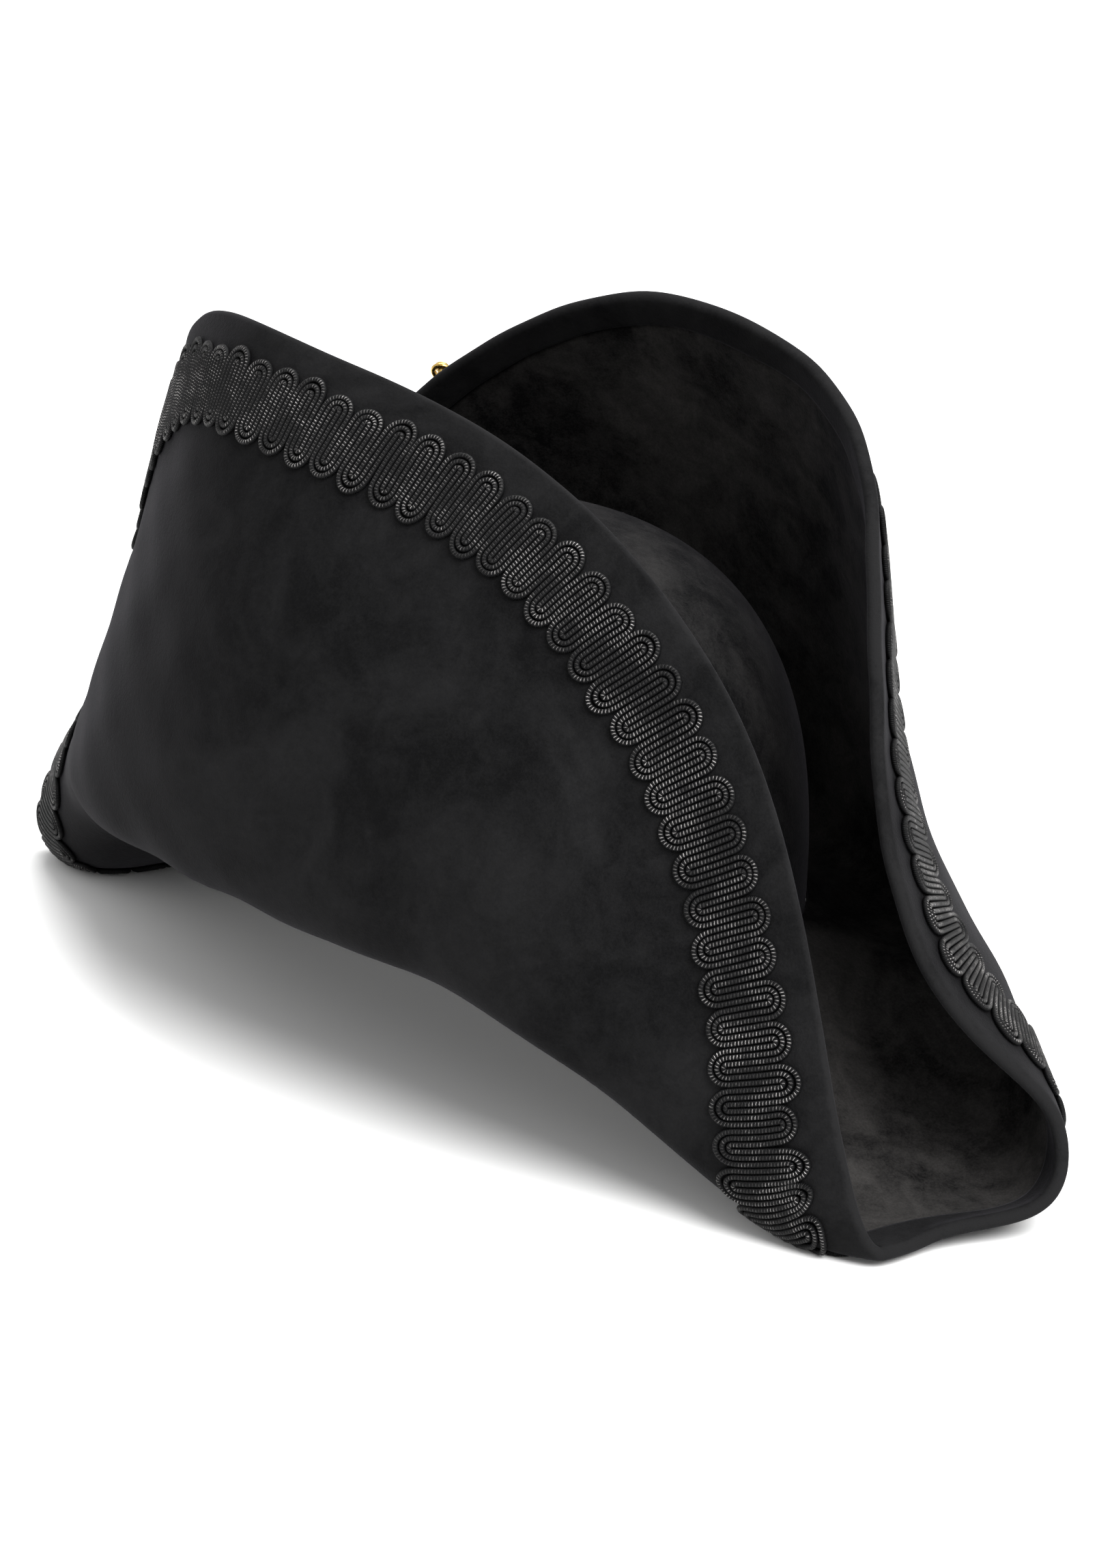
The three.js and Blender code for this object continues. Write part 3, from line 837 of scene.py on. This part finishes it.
class HAT_OT_chain(bpy.types.Operator):
    """Make the short gold chain and the stud that holds it"""
    bl_idname = "hat.chain"
    bl_label = "Chain"

    def execute(self, context):
        chain = context.scene.hat_chain
        material = gold_material(chain)
        for number, node in enumerate(LINK_NODES, 1):
            middle, axes, size = principal_axes(node)
            rings = link_rings(middle, axes, size, chain.wire)
            faces = [ring_faces(*rings.shape[:2])]
            new_piece(f"gold_link_{number}", rings, faces, material, [node])
        middle, axes, size = principal_axes("chain_stud")
        direction = axes[0] if axes[0] @ (middle * [1, 1, 0]) > 0 else -axes[0]
        side = np.cross(direction, [0.0, 0.0, 1.0])
        side /= np.linalg.norm(side)
        other = np.cross(direction, side)
        length, head = size[0], size[1] / 2
        radii = STUD_OUTLINE[:, 0] * head + STUD_OUTLINE[:, 1] * MM
        heights = STUD_OUTLINE[:, 2] * length + STUD_OUTLINE[:, 3] * MM
        circle = 2 * math.pi * np.arange(STUD_SIDES) / STUD_SIDES
        spokes = np.cos(circle)[:, None] * side + np.sin(circle)[:, None] * other
        start = middle - direction * length / 2
        rings = start + heights[:, None, None] * direction + radii[:, None, None] * spokes
        first = np.arange(STUD_SIDES)
        last = (len(radii) - 1) * STUD_SIDES + first
        faces = [ring_faces(len(radii), STUD_SIDES, closed=False), first[None, :], last[None, ::-1]]
        new_piece("gold_stud", rings, faces, material, ["chain_stud"])
        return {"FINISHED"}


# Stage

# The camera's place from the opening's middle: degrees round from the right horn towards the front,
# degrees above the horizon, degrees of roll, metres, and how far the aim is moved right and up
CAMERA_ROUND, CAMERA_ABOVE, CAMERA_ROLL = 38.301, 18.137, 2.858
CAMERA_DISTANCE = 1.27925
CAMERA_RIGHT, CAMERA_UP = 0.01157, 0.02315
CAMERA_LENS, CAMERA_FILM = 139.78, 36.0
FLOOR_HALF = 6.0

# The soft lights: name, place from the opening's middle, width, and share of the key light's power
LIGHTS = [
    ("key", (1.2, -0.05, 1.3), 1.4, 1.0),
    ("rim light", (-0.7, 0.45, 1.5), 1.2, 0.45),
]


def camera_frame(centre):
    """The camera's matrix: right, up and back directions from the three angles."""
    turn, above, roll = (math.radians(x) for x in (CAMERA_ROUND, CAMERA_ABOVE, CAMERA_ROLL))
    back = Vector((math.cos(turn) * math.cos(above), -math.sin(turn) * math.cos(above), math.sin(above)))
    right = Vector((math.sin(turn), math.cos(turn), 0))
    up = back.cross(right)
    right, up = right * math.cos(roll) + up * math.sin(roll), up * math.cos(roll) - right * math.sin(roll)
    matrix = Matrix((right, up, back)).transposed().to_4x4()
    matrix.translation = centre + CAMERA_DISTANCE * back + CAMERA_RIGHT * right + CAMERA_UP * up
    return matrix


def area_light(name, place, aim, size, power):
    light = bpy.data.lights.new(name, "AREA")
    light.shape = "DISK"
    light.size, light.energy = size, power
    lamp = bpy.data.objects.new(name, light)
    lamp.location = place
    lamp.rotation_euler = (aim - place).to_track_quat("-Z", "Y").to_euler()
    bpy.context.scene.collection.objects.link(lamp)


class HAT_OT_stage(bpy.types.Operator):
    """Set the floor, the soft lights and the camera at the photograph's angle"""
    bl_idname = "hat.stage"
    bl_label = "Stage"

    def execute(self, context):
        scene = context.scene
        stage, felt, braid = scene.hat_stage, scene.hat_felt, scene.hat_braid
        face = BrimFace(felt, braid)
        centre = Vector((face.axis[0], face.axis[1], face.lift))
        data = bpy.data.cameras.new("camera")
        data.sensor_fit = "HORIZONTAL"
        data.sensor_width, data.lens = CAMERA_FILM, CAMERA_LENS
        data.clip_start, data.clip_end = 0.05, 50
        camera = bpy.data.objects.new("camera", data)
        camera.matrix_world = camera_frame(centre)
        scene.collection.objects.link(camera)
        scene.camera = camera

        corners = [(x * FLOOR_HALF, y * FLOOR_HALF, 0) for x, y in ((-1, -1), (1, -1), (1, 1), (-1, 1))]
        mesh = bpy.data.meshes.new("floor")
        mesh.from_pydata(corners, [], [(0, 1, 2, 3)])
        mesh.materials.append(floor_material(stage))
        floor = bpy.data.objects.new("floor", mesh)
        scene.collection.objects.link(floor)

        world = bpy.data.worlds.new("studio")
        world.use_nodes = True
        background = world.node_tree.nodes["Background"].inputs
        background["Color"].default_value = (1, 1, 1, 1)
        background["Strength"].default_value = stage.sky
        scene.world = world
        for name, offset, size, share in LIGHTS:
            area_light(name, centre + Vector(offset), centre, size, share * stage.key_power)
        scene.view_settings.view_transform = "Standard"
        return {"FINISHED"}


class VIEW3D_PT_hat(bpy.types.Panel):
    """Lists the hat's pieces and their sizes and colours"""
    bl_label = "Bicorne hat"
    bl_idname = "VIEW3D_PT_hat"
    bl_space_type = "VIEW_3D"
    bl_region_type = "UI"
    bl_category = "Hat"

    def draw(self, context):
        for operators, settings in PANEL_ROWS:
            box = self.layout.box()
            for operator in operators:
                box.operator(operator.bl_idname)
            group = getattr(context.scene, settings)
            for key in group.__annotations__:
                box.prop(group, key)


PANEL_ROWS = [
    ((HAT_OT_crown, HAT_OT_brim), "hat_felt"),
    ((HAT_OT_braid,), "hat_braid"),
    ((HAT_OT_chain,), "hat_chain"),
    ((HAT_OT_stage,), "hat_stage"),
]

SETTINGS = {
    "hat_felt": FeltSettings,
    "hat_braid": BraidSettings,
    "hat_chain": ChainSettings,
    "hat_stage": StageSettings,
}

OPERATORS = [HAT_OT_crown, HAT_OT_brim, HAT_OT_braid, HAT_OT_chain, HAT_OT_stage]
CLASSES = [*SETTINGS.values(), *OPERATORS, VIEW3D_PT_hat]


def register():
    for item in CLASSES:
        bpy.utils.register_class(item)
    for key, group in SETTINGS.items():
        setattr(bpy.types.Scene, key, bpy.props.PointerProperty(type=group))


def unregister():
    for key in SETTINGS:
        delattr(bpy.types.Scene, key)
    for item in reversed(CLASSES):
        bpy.utils.unregister_class(item)


def main():
    register()
    bpy.ops.hat.stage()
    bpy.ops.hat.crown()
    bpy.ops.hat.brim()
    bpy.ops.hat.braid()
    bpy.ops.hat.chain()


if __name__ == "__main__":
    main()
